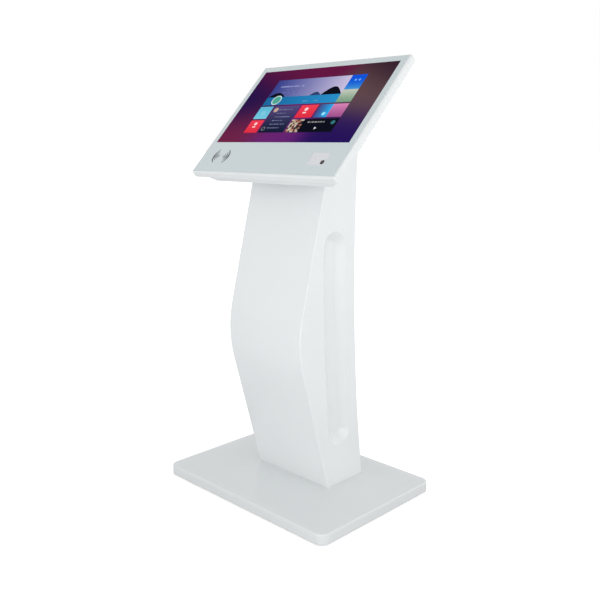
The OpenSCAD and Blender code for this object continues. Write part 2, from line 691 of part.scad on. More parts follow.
module head_rear_housing() color(paint) in_head() difference() {
    union() {
        tray(0, 0);
        head_rect(-1, corner_r - 1, -frame_t - 1.5, -frame_t);
    }
    tray(tray_t, tray_t);
    head_holes(-head_d, -head_d + tray_t);
    box([-cover_x + 10, cover_lo + 8, -head_d - over], [cover_x - 10, cover_hi - 8, -head_d + 4]);
    for (side = [-1, 1], i = [0:speaker_slots - 1])
        translate([side * speaker_x + (i - (speaker_slots - 1) / 2) * head_slot_pitch,
                   -frame_bot, speaker_w])
            rotate([-90, 0, 0]) linear_extrude(40) rotate(90) stadium(12, 3);
    cover_holes(cover_screw_r, -head_d - 2, -head_d + 4);
}
module cover_holes(r, z0, z1)
    for (x = [-cover_x + 5, 0, cover_x - 5], y = [cover_lo + 4, cover_hi - 4])
        translate([x, y, z0]) cylinder(r = r, h = z1 - z0);
module head_service_cover() color(paint) in_head() difference() {
    round_block(-cover_x, cover_lo, cover_x, cover_hi, 4, -head_d - cover_t, -head_d);
    cover_holes(cover_screw_r + screw_gap, -head_d - 2, -head_d + 1);
    for (i = [-10:10]) translate([i * cover_slot_pitch, (cover_lo + cover_hi) / 2, -head_d - 3])
        linear_extrude(4) rotate(90) stadium(32, 4);
}
module cover_screws() color("silver") in_head() {
    cover_holes(cover_screw_r, -head_d - cover_t, -head_d + tray_t + 2);
    cover_holes(2 * cover_screw_r, -head_d - 3.2, -head_d - cover_t);
}
mount_x = 120;
mount_y = 64;
mount_t = 5;
module head_mount_plate() color(steel) in_head() difference() {
    box([-mount_x, head_bolt_y - mount_y, -head_d + tray_t],
        [mount_x, head_bolt_y + mount_y, -head_d + tray_t + mount_t]);
    head_holes(-head_d + tray_t, -head_d + tray_t + mount_t);
}
module head_bolts() color("silver") in_head()
    translate([0, head_bolt_y, -head_d - top_plate_t - head_gap])
        corners(head_bolt_dx, head_bolt_dy) bolt(head_bolt_r, top_plate_t + tray_t + mount_t + head_gap);

// ---- leads held inside: a tube swept along hand-set points ----
tube_sides = 10;
function unit(v) = v / norm(v);
function tube_dir(p, i) = unit(p[min(i + 1, len(p) - 1)] - p[max(i - 1, 0)]);
function tube_ring(c, d, r) =
    let (a = unit(cross(d, [1, 0.2, 0.1])), b = cross(d, a))
    [for (k = [0:tube_sides - 1]) let (q = 360 * k / tube_sides) c + r * (cos(q) * a + sin(q) * b)];
// Points of one smooth curve through the route's own points
function bend(p, i, s) =
    let (n = len(p), a = p[max(i - 1, 0)], b = p[i], c = p[i + 1], d = p[min(i + 2, n - 1)])
    0.5 * (2 * b + (c - a) * s + (2 * a - 5 * b + 4 * c - d) * pow(s, 2)
           + (3 * b - a - 3 * c + d) * pow(s, 3));
function smooth(p, n) =
    concat([for (i = [0:len(p) - 2], j = [0:n - 1]) bend(p, i, j / n)], [p[len(p) - 1]]);
module tube(route, r) {
    p = smooth(route, 4);
    n = tube_sides;
    rings = len(p);
    polyhedron(
        points = [for (i = [0:rings - 1]) each tube_ring(p[i], tube_dir(p, i), r)],
        faces = concat(
            [[for (k = [0:n - 1]) k]],
            [for (i = [0:rings - 2], k = [0:n - 1])
                [i * n + k, (i + 1) * n + k, (i + 1) * n + (k + 1) % n, i * n + (k + 1) % n]],
            [[for (k = [n - 1:-1:0]) (rings - 1) * n + k]]));
}
// A point given in the head's own frame
function head_pt(u, v, w) =
    [u, screen_y + v * cos(tilt) - w * sin(tilt), screen_z + v * sin(tilt) + w * cos(tilt)];
display_route = [[62, 51, 476], [62, 60, 480], [76, 64, 500], [90, 62, 540], [96, 60, 600],
                 [90, 50, 680], [60, 30, 780], [20, 30, 880], [2, 38, 930],
                 head_pt(0, -42, -58), head_pt(0, -46, -44), head_pt(14, -62, -38),
                 head_pt(36, -78, -31), head_pt(52, -76, -29), head_pt(54, -62, -29)];
mains_route = [[-40, 87, 92], [-40, 72, 90], [-55, 48, 112], [-92, 0, 220], [-106, -50, 340],
               [-118, -80, 440], [-118, -80, 465], [-112, -80, 476], [-106, -80, 476]];
lead_r = 3.5;
module display_cable() color("black") tube(display_route, lead_r);
module mains_cable() color("black") tube(mains_route, lead_r);

base_cover();
ballast_plate();
base_feet();
base_bolts();
column_front_panel();
column_side_left();
column_side_right();
column_rear_panel();
pocket_left();
pocket_right();
column_flange();
column_top_plate();
lower_shelf();
upper_shelf();
pc_case();
pc_heatsink();
power_supply();
socket_strip();
power_inlet();
rocker_switch();
button_body();
button_cap();
fan_frame();
fan_rotor();
fan_guard();
fan_screws();
rear_door();
hinge_leaves_fixed();
hinge_leaves_door();
hinge_pins();
lock_body();
lock_cam();
lock_keeper();
head_frame();
glass_tape();
cover_glass();
lcd_module();
lcd_rails();
display_board();
touch_controller();
rfid_board();
scanner_bezel();
scanner_sensor();
scanner_board();
speaker_left();
speaker_right();
head_rear_housing();
head_service_cover();
cover_screws();
head_mount_plate();
head_bolts();
display_cable();
mains_cable();
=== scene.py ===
"""Free-standing touchscreen kiosk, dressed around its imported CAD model. Lengths are in metres."""
import json
import math
import random

import bmesh
import bpy
from mathutils import Matrix, Vector


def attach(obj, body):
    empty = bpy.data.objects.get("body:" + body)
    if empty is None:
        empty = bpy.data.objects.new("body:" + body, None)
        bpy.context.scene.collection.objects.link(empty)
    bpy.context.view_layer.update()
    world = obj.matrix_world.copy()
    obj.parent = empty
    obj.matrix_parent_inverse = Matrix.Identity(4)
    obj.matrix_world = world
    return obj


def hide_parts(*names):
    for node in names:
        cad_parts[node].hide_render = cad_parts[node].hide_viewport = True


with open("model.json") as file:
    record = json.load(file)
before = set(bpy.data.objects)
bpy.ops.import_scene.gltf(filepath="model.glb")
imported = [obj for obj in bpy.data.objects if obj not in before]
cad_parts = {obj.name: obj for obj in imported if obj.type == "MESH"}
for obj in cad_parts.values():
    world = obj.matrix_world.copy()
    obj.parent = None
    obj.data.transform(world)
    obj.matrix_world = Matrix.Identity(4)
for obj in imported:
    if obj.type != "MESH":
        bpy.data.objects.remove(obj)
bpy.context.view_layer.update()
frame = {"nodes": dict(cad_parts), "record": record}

MM = 0.001

# ---- sizes that part.scad sets, in metres ----
BASE_W, BASE_D, BASE_H, BASE_R = 0.600, 0.430, 0.030, 0.025
COL_X = 0.134
SHEET = 0.002
KNEE_Y, KNEE_Z, KNEE_R = -0.129, 0.4385, 0.310
LEAN_LOW, LEAN_UP = math.radians(15.6), math.radians(14.4)
BACK_Y, BACK_Z, BACK_R = 0.0838, 0.6297, 4.670
POCKET_R, POCKET_D, POCKET_LO, POCKET_HI, POCKET_IN = 0.039, 0.017, 0.183, 0.672, 0.0765
POCKET_WALL = 0.021
POCKET_SLOPE = math.atan((POCKET_D - SHEET) / POCKET_WALL)
TILT = math.radians(45.8)
HEAD_AT = Vector((0, 0.0316, 1.029))
FRAME_X, FRAME_TOP, FRAME_BOT, FRAME_T, FRAME_R = 0.2595, 0.157, 0.241, 0.020, 0.005
RIM, HEAD_D, GLASS_T = 0.0052, 0.052, 0.004
ACTIVE_W, ACTIVE_H = 0.4761, 0.2678
HEAD = Matrix.Translation(HEAD_AT) @ Matrix.Rotation(TILT, 4, "X")

BODY_OF = {}
for body, nodes in frame["record"]["behaviour"]["bodies"].items():
    for node in nodes:
        BODY_OF[node] = body
SLOT_OF = {s["node"]: s["material_slot"] for s in frame["record"]["subparts"]}


# ---- materials ----
def srgb(r, g, b):
    """A colour given as 0-255 screen values, as linear RGBA."""
    def lin(c):
        c /= 255
        return c / 12.92 if c <= 0.04045 else ((c + 0.055) / 1.055) ** 2.4
    return (lin(r), lin(g), lin(b), 1.0)


def tinted(colour, k):
    """The colour made k times as bright."""
    return (*(min(1.0, c * k) for c in colour[:3]), 1.0)


NOISE_LOW, NOISE_HIGH = 0.3, 0.7     # where most of a noise texture's values lie
RELIEF_DEPTH = 0.00005


class Nodes:
    """A new material's node tree, with short ways to add the nodes used here."""

    def __init__(self, name):
        self.material = bpy.data.materials.new(name)
        self.material.use_nodes = True
        self.tree = self.material.node_tree
        self.shader = self.tree.nodes["Principled BSDF"]
        self.where = self.add("ShaderNodeTexCoord").outputs["Object"]

    def add(self, kind, **values):
        """A node of this kind with these properties."""
        node = self.tree.nodes.new(kind)
        for key, value in values.items():
            setattr(node, key, value)
        return node

    def link(self, a, b):
        self.tree.links.new(a, b)

    def set(self, **values):
        """Values on the shader's own sockets, with _ for a space in the socket's name."""
        for key, value in values.items():
            self.shader.inputs[key.replace("_", " ")].default_value = value

    def noise(self, scale, detail=3.0, stretch=None):
        """Noise over the object, drawn out where stretch differs between the axes."""
        where = self.where
        if stretch:
            mapping = self.add("ShaderNodeMapping")
            mapping.inputs["Scale"].default_value = stretch
            self.link(where, mapping.inputs["Vector"])
            where = mapping.outputs["Vector"]
        node = self.add("ShaderNodeTexNoise")
        node.inputs["Scale"].default_value = scale
        node.inputs["Detail"].default_value = detail
        self.link(where, node.inputs["Vector"])
        return node.outputs["Fac"]

    def ramp(self, value, stops):
        """Colours at given values of the input."""
        node = self.add("ShaderNodeValToRGB")
        ramp = node.color_ramp
        while len(ramp.elements) < len(stops):
            ramp.elements.new(0.5)
        for element, (at, colour) in zip(ramp.elements, stops):
            element.position = at
            element.color = colour
        self.link(value, node.inputs["Fac"])
        return node.outputs["Color"]

    def span(self, value, low, high):
        """Noise stretched to run between two numbers."""
        node = self.add("ShaderNodeMapRange")
        node.inputs["From Min"].default_value = NOISE_LOW
        node.inputs["From Max"].default_value = NOISE_HIGH
        node.inputs["To Min"].default_value = low
        node.inputs["To Max"].default_value = high
        self.link(value, node.inputs["Value"])
        return node.outputs["Result"]

    def bump(self, value, strength, depth):
        node = self.add("ShaderNodeBump")
        node.inputs["Strength"].default_value = strength
        node.inputs["Distance"].default_value = depth
        self.link(value, node.inputs["Height"])
        self.link(node.outputs["Normal"], self.shader.inputs["Normal"])


def surface(name, colour, rough, metal=0.0, coat=0.0, tone=0.02, tone_scale=9.0, grain=900.0, relief=0.1,
            stretch=None):
    """A painted, moulded or metal surface: cloudy tone, uneven gloss and a fine relief."""
    n = Nodes(name)
    clouds = n.ramp(n.noise(tone_scale),
                    [(NOISE_LOW, tinted(colour, 1 - tone)), (NOISE_HIGH, tinted(colour, 1 + tone))])
    n.link(clouds, n.shader.inputs["Base Color"])
    n.link(n.span(n.noise(tone_scale * 3.1), rough * 0.88, rough * 1.12), n.shader.inputs["Roughness"])
    n.bump(n.noise(grain, 2.0, stretch), relief, RELIEF_DEPTH)
    n.set(Metallic=metal, Coat_Weight=coat, Coat_Roughness=0.08, Specular_IOR_Level=0.5)
    return n.material


WHITE = srgb(232, 235, 236)
MATERIALS = {
    "white_paint": surface("white_paint", WHITE, 0.24, coat=0.35, tone=0.006, grain=260, relief=0.004),
    "base_paint": surface("base_paint", WHITE, 0.20, coat=0.8, tone=0.006, grain=260, relief=0.012),
    "raw_steel": surface("raw_steel", srgb(172, 174, 175), 0.34, metal=1.0, tone=0.045, tone_scale=40,
                         grain=300, relief=0.2, stretch=(1, 1, 12)),
    "bright_steel": surface("bright_steel", srgb(205, 205, 206), 0.24, metal=1.0, tone=0.05, tone_scale=80,
                            grain=500, relief=0.12, stretch=(9, 1, 1)),
    "foot_rubber": surface("foot_rubber", srgb(38, 38, 39), 0.75, tone=0.12, tone_scale=60, relief=0.5),
    "black_plastic": surface("black_plastic", srgb(33, 33, 35), 0.48, tone=0.08, tone_scale=40, grain=1500,
                             relief=0.4),
    "white_plastic": surface("white_plastic", srgb(232, 232, 235), 0.28, tone=0.01, grain=1200, relief=0.08),
    "rocker_red": surface("rocker_red", srgb(176, 28, 22), 0.26, tone=0.04, relief=0.06),
    "aluminium": surface("aluminium", srgb(188, 190, 192), 0.34, metal=1.0, tone=0.06, grain=400, relief=0.25,
                         stretch=(1, 14, 1)),
    "dark_metal": surface("dark_metal", srgb(70, 72, 74), 0.45, metal=0.2, tone=0.06, grain=1100, relief=0.3),
    "cover_glass": surface("cover_glass", srgb(215, 226, 228), 0.07, coat=1.0, tone=0.006, tone_scale=3,
                           relief=0.01),
    "lcd_face": surface("lcd_face", srgb(18, 18, 20), 0.15, tone=0.05, relief=0.03),
    "sensor_black": surface("sensor_black", srgb(12, 12, 14), 0.12, coat=0.8, tone=0.08, relief=0.03),
    "foam_tape": surface("foam_tape", srgb(30, 30, 31), 0.85, tone=0.1, tone_scale=200, grain=2500,
                         relief=0.7),
    "cable_jacket": surface("cable_jacket", srgb(27, 27, 29), 0.5, tone=0.08, tone_scale=70, relief=0.3),
}


def circuit_board():
    """Green solder mask with faint copper tracks under it."""
    n = Nodes("circuit_board")
    brick = n.add("ShaderNodeTexBrick")
    brick.inputs["Scale"].default_value = 160
    brick.inputs["Mortar Size"].default_value = 0.03
    brick.inputs["Color1"].default_value = srgb(18, 92, 48)
    brick.inputs["Color2"].default_value = srgb(14, 76, 40)
    brick.inputs["Mortar"].default_value = srgb(64, 132, 78)
    n.link(n.where, brick.inputs["Vector"])
    n.link(brick.outputs["Color"], n.shader.inputs["Base Color"])
    n.link(n.span(n.noise(60), 0.25, 0.4), n.shader.inputs["Roughness"])
    n.bump(brick.outputs["Fac"], 0.3, RELIEF_DEPTH)
    return n.material


MATERIALS["circuit_board"] = circuit_board()


# ---- making pieces ----
def piece(name, mesh, slot, body="stand", replaces=(), place=None, smooth=35.0):
    """Adds a mesh as one piece of the kiosk, with the slot's material, riding on a body."""
    obj = bpy.data.objects.new(name, mesh)
    bpy.context.scene.collection.objects.link(obj)
    if not mesh.materials:
        mesh.materials.append(MATERIALS[slot])
    for poly in mesh.polygons:
        poly.use_smooth = True
    mesh.set_sharp_from_angle(angle=math.radians(smooth))
    if place is not None:
        obj.matrix_world = place
    bpy.context.view_layer.update()
    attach(obj, body)
    if replaces:
        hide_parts(*replaces)
    return obj


def mesh_of(name, verts, faces):
    """A mesh from points and faces."""
    mesh = bpy.data.meshes.new(name)
    mesh.from_pydata([tuple(v) for v in verts], [], faces)
    mesh.validate()
    return mesh


def tidy_normals(mesh):
    """The mesh with every face turned outwards."""
    bm = bmesh.new()
    bm.from_mesh(mesh)
    bmesh.ops.recalc_face_normals(bm, faces=bm.faces)
    bm.to_mesh(mesh)
    bm.free()
    return mesh


def loft(name, rings, close=False):
    """Skins closed rings of equal length, and joins the last to the first or fills both ends."""
    n = len(rings[0])
    verts = [v for ring in rings for v in ring]
    spans = len(rings) if close else len(rings) - 1
    faces = []
    for k in range(spans):
        a, b = k * n, (k + 1) % len(rings) * n
        for j in range(n):
            i = (j + 1) % n
            faces.append((a + j, b + j, b + i, a + i))
    if not close:
        faces.append(tuple(range(n))[::-1])
        faces.append(tuple(range(len(verts) - n, len(verts))))
    return tidy_normals(mesh_of(name, verts, faces))


def bevel(obj, width, segments, angle):
    """Rounds the edges that turn by more than an angle in degrees."""
    mod = obj.modifiers.new("edge", "BEVEL")
    mod.width = width
    mod.segments = segments
    mod.limit_method = "ANGLE"
    mod.angle_limit = math.radians(angle)
    mod.harden_normals = True
    return obj


def refined(node, width, segments=2, angle=30.0):
    """A node's own shape with its flat faces joined up and its edges rounded over."""
    mesh = frame["nodes"][node].data.copy()
    mesh.materials.clear()
    bm = bmesh.new()
    bm.from_mesh(mesh)
    bmesh.ops.remove_doubles(bm, verts=bm.verts, dist=1e-6)
    bmesh.ops.dissolve_limit(bm, angle_limit=math.radians(0.6), verts=bm.verts, edges=bm.edges)
    bm.to_mesh(mesh)
    bm.free()
    obj = piece(node + "_skin", mesh, SLOT_OF[node], BODY_OF[node], (node,))
    return bevel(obj, width, segments, angle)


def rounded_ring(x0, y0, x1, y1, r, z, steps):
    """Points of a rounded rectangle at height z, anticlockwise."""
    corners = ((x1 - r, y0 + r, -90), (x1 - r, y1 - r, 0), (x0 + r, y1 - r, 90), (x0 + r, y0 + r, 180))
    ring = []
    for cx, cy, start in corners:
        for i in range(steps + 1):
            a = math.radians(start + 90 * i / steps)
            ring.append((cx + r * math.cos(a), cy + r * math.sin(a), z))
    return ring


def arc(cx, cy, r, a0, a1, steps):
    """Points from angle a0 to a1, in degrees."""
    return [(cx + r * math.cos(math.radians(a0 + (a1 - a0) * i / steps)),
             cy + r * math.sin(math.radians(a0 + (a1 - a0) * i / steps))) for i in range(steps + 1)]


# ---- base ----
def base():
    """Folded cover: soft upper edge, upright wall, turned in and hollow below."""
    top_r, foot, wall, top_t = 0.0035, 0.002, 0.0025, 0.003
    chamfer, least_r, top_inset, corner_steps = 0.0006, 0.002, 0.03, 14

    def ring(inset, z):
        x, y = BASE_W / 2 - inset, BASE_D / 2 - inset
        return rounded_ring(-x, -y, x, y, max(BASE_R - inset, least_r), z, corner_steps)

    section = [(wall, BASE_H - top_t), (wall, foot), (chamfer, foot), (0, foot + chamfer)]
    section += [(top_r - x, BASE_H - top_r + y) for x, y in arc(0, 0, top_r, 0, 90, 6)]
    section += [(top_inset, BASE_H)]
    mesh = loft("base_cover_shell", [ring(inset, z) for inset, z in section])
    mesh.materials.append(MATERIALS["base_paint"])
    return piece("base_cover_shell", mesh, "white_paint", replaces=("base_cover",))


# ---- column ----
LAP = 0.010     # how far the front face returns along the sides
BOW_R = 1 / math.cos((LEAN_LOW + LEAN_UP) / 2)
BOW_Y = KNEE_Y + KNEE_R * BOW_R * math.cos((LEAN_LOW - LEAN_UP) / 2)
BOW_Z = KNEE_Z + KNEE_R * BOW_R * math.sin((LEAN_LOW - LEAN_UP) / 2)


def front_y(z, t):
    """Depth of the column's front outline at height z, moved in by t."""
    r = KNEE_R - t
    low_z, high_z = BOW_Z - r * math.sin(LEAN_LOW), BOW_Z + r * math.sin(LEAN_UP)
    if z < low_z:
        return BOW_Y - r * math.cos(LEAN_LOW) + (low_z - z) * math.tan(LEAN_LOW)
    if z > high_z:
        return BOW_Y - r * math.cos(LEAN_UP) + (z - high_z) * math.tan(LEAN_UP)
    return BOW_Y - math.sqrt(r * r - (z - BOW_Z) ** 2)


def back_y(z):
    """Depth of the column's long hollow back at height z."""
    return BACK_Y + BACK_R - math.sqrt(BACK_R ** 2 - (z - BACK_Z) ** 2)


def under_head(y):
    """Height of the head's rear face at depth y."""
    return HEAD_AT.z + ((y - HEAD_AT.y) * math.sin(TILT) - HEAD_D) / math.cos(TILT)


def top_of_front(t):
    """Height where the front at inset t meets the head, found by steps."""
    z = 0.9
    for _ in range(40):
        z += (under_head(front_y(z, t)) - z) * 0.7
    return z


def top_of_back():
    """Height where the back meets the head, found by steps."""
    z = 1.0
    for _ in range(40):
        z = under_head(back_y(z))
    return z


def front_stations(t):
    """Heights up the front at inset t: even along the straights, close round the bow."""
    low, high = BOW_Z - KNEE_R * math.sin(LEAN_LOW), BOW_Z + KNEE_R * math.sin(LEAN_UP)
    top = top_of_front(t)
    rows = [BASE_H + (low - BASE_H) * i / 8 for i in range(8)]
    rows += [low + (high - low) * i / 40 for i in range(40)]
    return rows + [high + (top - high) * i / 8 for i in range(9)]


def column_front():
    """Front face, bent round at both sides and returned a little way along them."""
    bend = 0.003
    outer = [(COL_X, LAP)] + [(COL_X - bend + x, bend - y) for x, y in arc(0, 0, bend, 0, 90, 6)]
    inner = [(COL_X - SHEET, LAP), (COL_X - SHEET, bend), (COL_X - bend, SHEET)]
    section = outer + [(-x, t) for x, t in outer[::-1]] + [(-x, t) for x, t in inner] + inner[::-1]
    columns = [[(x, front_y(z, t), z) for z in front_stations(t)] for x, t in section]
    rings = [[col[i] for col in columns] for i in range(len(columns[0]))]
    return piece("column_front_face", loft("column_front_face", rings), "white_paint",
                 replaces=("column_front_panel",))


def pocket_mid(z):
    """Middle of the pocket at height z, as (y, z)."""
    return Vector((back_y(z) - POCKET_IN, z))


def pocket_line(r):
    """Outline of the side pocket at half width r, as (y, z)."""
    rows, ends = 40, 24

    def side(z, sign):
        a = math.asin((z - BACK_Z) / BACK_R)
        return pocket_mid(z) + Vector((math.cos(a), -math.sin(a))) * r * sign

    def end(z, i, start):
        a = math.radians(start + 180 * i / ends) - math.asin((z - BACK_Z) / BACK_R)
        return pocket_mid(z) + Vector((math.cos(a), math.sin(a))) * r

    heights = [POCKET_LO + (POCKET_HI - POCKET_LO) * i / rows for i in range(rows + 1)]
    return ([side(z, 1) for z in heights] + [end(POCKET_HI, i, 0) for i in range(1, ends)]
            + [side(z, -1) for z in heights[::-1]] + [end(POCKET_LO, i, 180) for i in range(1, ends)])


def plate_with_hole(name, outline, hole, x0, x1):
    """A flat plate between x0 and x1 from a (y, z) outline.

    hole lists (ring, x) from the outer face inwards.
    """
    bm = bmesh.new()

    def ring(points, x):
        return [bm.verts.new((x, y, z)) for y, z in points]

    def edges(verts):
        return [bm.edges.new((verts[i - 1], verts[i])) for i in range(len(verts))]

    def wall(a, b):
        for i in range(len(a)):
            bm.faces.new((a[i - 1], b[i - 1], b[i], a[i]))

    outer, inner = ring(outline, x1), ring(outline, x0)
    rims = [ring(points, x) for points, x in hole]
    for edge, rim in ((outer, rims[0]), (inner, rims[-1])):
        bmesh.ops.triangle_fill(bm, edges=edges(edge) + edges(rim), use_beauty=True)
    wall(outer, inner)
    for a, b in zip(rims, rims[1:]):
        wall(a, b)
    bmesh.ops.recalc_face_normals(bm, faces=bm.faces)
    mesh = bpy.data.meshes.new(name)
    bm.to_mesh(mesh)
    bm.free()
    return mesh


def pocket_rim():
    """(half width, depth) round the side's hole: a flat margin, round a soft edge, down the slope."""
    soft, margin, steps = 0.0022, 0.001, 6
    line = POCKET_R + (SHEET - soft * (1 - math.cos(POCKET_SLOPE))) / math.tan(POCKET_SLOPE)
    edge = line + soft * math.sin(POCKET_SLOPE)
    turns = [POCKET_SLOPE * i / steps for i in range(steps + 1)]
    curve = [(edge - soft * math.sin(a), soft * (1 - math.cos(a))) for a in turns]
    return [(edge + margin, 0.0)] + curve + [(POCKET_R, SHEET)]


def column_side(side, sign):
    """Flat side with the pocket's round-ended hole in it."""
    rows = 60
    rise = top_of_back() - BASE_H
    front = [(front_y(z, LAP), z) for z in front_stations(LAP)]
    back = [(back_y(z), z) for z in (BASE_H + rise * i / rows for i in range(rows + 1))]
    hole = [(pocket_line(r), sign * (COL_X - depth)) for r, depth in pocket_rim()]
    mesh = plate_with_hole(f"column_side_{side}_face", front + back[::-1], hole,
                           sign * (COL_X - SHEET), sign * COL_X)
    obj = piece(f"column_side_{side}_face", mesh, "white_paint", replaces=(f"column_side_{side}",))
    return bevel(obj, 0.0005, 2, 60)


def pocket(side, sign):
    """Pressed insert: a lip behind the side, a straight slope and a bend into the flat floor."""
    lip, sheet, bend_r, steps = 0.008, 0.0012, 0.008, 8

    def floor_bend(i, t):
        a = POCKET_SLOPE * (1 - i / steps)
        return (POCKET_R - POCKET_WALL - bend_r * math.tan(POCKET_SLOPE / 2) + (bend_r + t) * math.sin(a),
                POCKET_D - bend_r + (bend_r + t) * math.cos(a))

    section = [floor_bend(i, 0) for i in range(steps, -1, -1)]
    section += [(POCKET_R, SHEET), (POCKET_R + lip, SHEET), (POCKET_R + lip, SHEET + sheet),
                (POCKET_R + sheet * math.tan(POCKET_SLOPE / 2), SHEET + sheet)]
    section += [floor_bend(i, sheet) for i in range(steps + 1)]
    rings = [[(sign * (COL_X - d), y, z) for y, z in pocket_line(r)] for r, d in section]
    mesh = loft(f"pocket_{side}_pressing", rings)
    return piece(f"pocket_{side}_pressing", mesh, "white_paint", replaces=(f"pocket_{side}",), smooth=25)


# ---- head ----
def head_ring(inset, w, r, steps):
    """The head's outline moved in by inset, at w along the head's own up axis."""
    return rounded_ring(-FRAME_X + inset, -FRAME_BOT + inset, FRAME_X - inset, FRAME_TOP - inset, r, w, steps)


def head_frame():
    """Front frame: flat side, a soft shoulder, a narrow rim and a ledge under the glass."""
    side_w, ledge, wall, soft, tape, ledge_t = -0.0085, 0.005, 0.0044, 0.0006, 0.001, 0.0016
    shoulder_r, least_r, steps = 0.0042, 0.0012, 8
    shoulder = [(shoulder_r - shoulder_r * math.cos(a), side_w + (-soft - side_w) * math.sin(a))
                for a in (math.radians(90 * i / steps) for i in range(steps + 1))]
    ledge_top, ledge_under = -GLASS_T - tape, -GLASS_T - tape - ledge_t
    section = [(wall, -FRAME_T), (soft, -FRAME_T), (0, -FRAME_T + soft)] + shoulder
    section += [(RIM - 0.0002, -soft), (RIM, -0.0010), (RIM, ledge_top), (RIM + ledge, ledge_top),
                (RIM + ledge, ledge_under), (wall, ledge_under)]
    rings = [head_ring(inset, w, max(FRAME_R - inset, least_r), 10) for inset, w in section]
    mesh = loft("head_frame_rim", rings, close=True)
    return piece("head_frame_rim", mesh, "white_paint", replaces=("head_frame",), place=HEAD, smooth=30)


def cover_glass():
    """The pane, with ground edges."""
    gap, edge, corner_r = 0.0003, 0.0005, 0.0025

    def pane(inset, w):
        return head_ring(RIM + gap + inset, w, corner_r - inset, 6)

    rings = [pane(edge, -GLASS_T), pane(0, -GLASS_T + edge), pane(0, -edge), pane(edge, 0)]
    return piece("cover_glass_pane", loft("cover_glass_pane", rings), "cover_glass",
                 replaces=("cover_glass",), place=HEAD)


# ---- the picture on the screen ----
def glow(name):
    """The lit picture: its colours come from the mesh, under a faint gloss."""
    n = Nodes(name)
    attribute = n.add("ShaderNodeAttribute", attribute_name="picture")
    n.set(Roughness=0.10, Specular_IOR_Level=0.0, Emission_Strength=1.0)
    n.shader.inputs["Base Color"].default_value = (0.002, 0.002, 0.0025, 1)
    pixels = n.add("ShaderNodeMix", data_type="RGBA", blend_type="MULTIPLY")
    pixels.inputs["Factor"].default_value = 1.0
    n.link(attribute.outputs["Color"], pixels.inputs["A"])
    grain = [(NOISE_LOW, (0.93, 0.93, 0.93, 1)), (NOISE_HIGH, (1, 1, 1, 1))]
    n.link(n.ramp(n.noise(1400, 1.0), grain), pixels.inputs["B"])
    n.link(pixels.outputs["Result"], n.shader.inputs["Emission Color"])
    return n.material


class Picture:
    """A flat picture built from coloured patches, in screen millimetres from its centre."""

    def __init__(self):
        self.verts, self.faces, self.colours = [], [], []

    def patch(self, points, level, colour):
        """A polygon. colour is one (r, g, b) or a function of (x, y)."""
        start = len(self.verts)
        for x, y in points:
            self.verts.append((x * MM, y * MM, level * MM))
            self.colours.append(srgb(*(colour(x, y) if callable(colour) else colour)))
        self.faces.append(tuple(range(start, start + len(points))))

    def grid(self, x0, y0, x1, y1, nx, ny, level, colour):
        """A rectangle cut into cells, so that its colour can change across it."""
        for i in range(nx):
            for j in range(ny):
                xa, xb = x0 + (x1 - x0) * i / nx, x0 + (x1 - x0) * (i + 1) / nx
                ya, yb = y0 + (y1 - y0) * j / ny, y0 + (y1 - y0) * (j + 1) / ny
                self.patch([(xa, ya), (xb, ya), (xb, yb), (xa, yb)], level, colour)

    def box(self, x0, y0, x1, y1, level, colour):
        self.grid(x0, y0, x1, y1, 4, 4, level, colour)

    def disc(self, cx, cy, r, level, colour):
        steps = 24
        self.patch(arc(cx, cy, r, 0, 360 - 360 / steps, steps - 1), level, colour)

    def ring(self, cx, cy, r0, r1, a0, a1, level, colour, steps=24):
        inner, outer = arc(cx, cy, r0, a0, a1, steps), arc(cx, cy, r1, a0, a1, steps)
        for i in range(steps):
            self.patch([inner[i], outer[i], outer[i + 1], inner[i + 1]], level, colour)

    def words(self, x, y, length, height, level, colour, seed):
        """A line of greeked text: short plain strokes of uneven length with gaps between them."""
        rnd = random.Random(seed)
        end = x + length
        while x < end - height:
            stroke = min(rnd.uniform(0.6, 2.6) * height, end - x)
            shade = rnd.uniform(0.75, 1.0)
            self.patch([(x, y), (x + stroke, y), (x + stroke, y + height), (x, y + height)], level,
                       tuple(c * shade for c in colour))
            x += stroke + rnd.uniform(0.3, 0.7) * height

    def mesh(self, name):
        mesh = mesh_of(name, self.verts, self.faces)
        layer = mesh.color_attributes.new("picture", "FLOAT_COLOR", "POINT")
        for value, colour in zip(layer.data, self.colours):
            value.color = colour
        return mesh


def blend_of(anchors, reach):
    """A smooth field of colour through anchors of (x, y, (r, g, b))."""
    def colour(x, y):
        total, mixed = 0.0, [0.0, 0.0, 0.0]
        for ax, ay, rgb in anchors:
            weight = math.exp(-((x - ax) ** 2 + (y - ay) ** 2) / (2 * reach * reach)) + 1e-9
            total += weight
            mixed = [m + weight * c for m, c in zip(mixed, rgb)]
        return tuple(m / total for m in mixed)
    return colour


def between(low, high, k):
    """The colour a share k of the way from low to high."""
    k = min(1.0, max(0.0, k))
    return tuple(a + (b - a) * k for a, b in zip(low, high))


def fade(y0, low, y1, high):
    """Colour that runs from low at height y0 to high at height y1."""
    return lambda _, y: between(low, high, (y - y0) / (y1 - y0))


def sweep(x0, left, x1, right):
    """Colour that runs from left at x0 to right at x1."""
    return lambda x, _: between(left, right, (x - x0) / (x1 - x0))


LAYER = 0.03
INK = (10, 12, 26)
RED_LOW, RED_HIGH = (225, 45, 65), (245, 65, 85)
# Edges of the tiles in screen millimetres: across, then up
LEFT, SMALL_END, WIDE_START, WIDE_END = -155, -105, -100, -5
RED_START, RED_END, SPLIT, RIGHT = 0, 60, 110, 160
ROW_TOP, ROW_BAND, ROW_MID, MID_LOW, ROW_LOW, ROW_END = 95, 30, -5, -50, -55, -100
GAP = 5


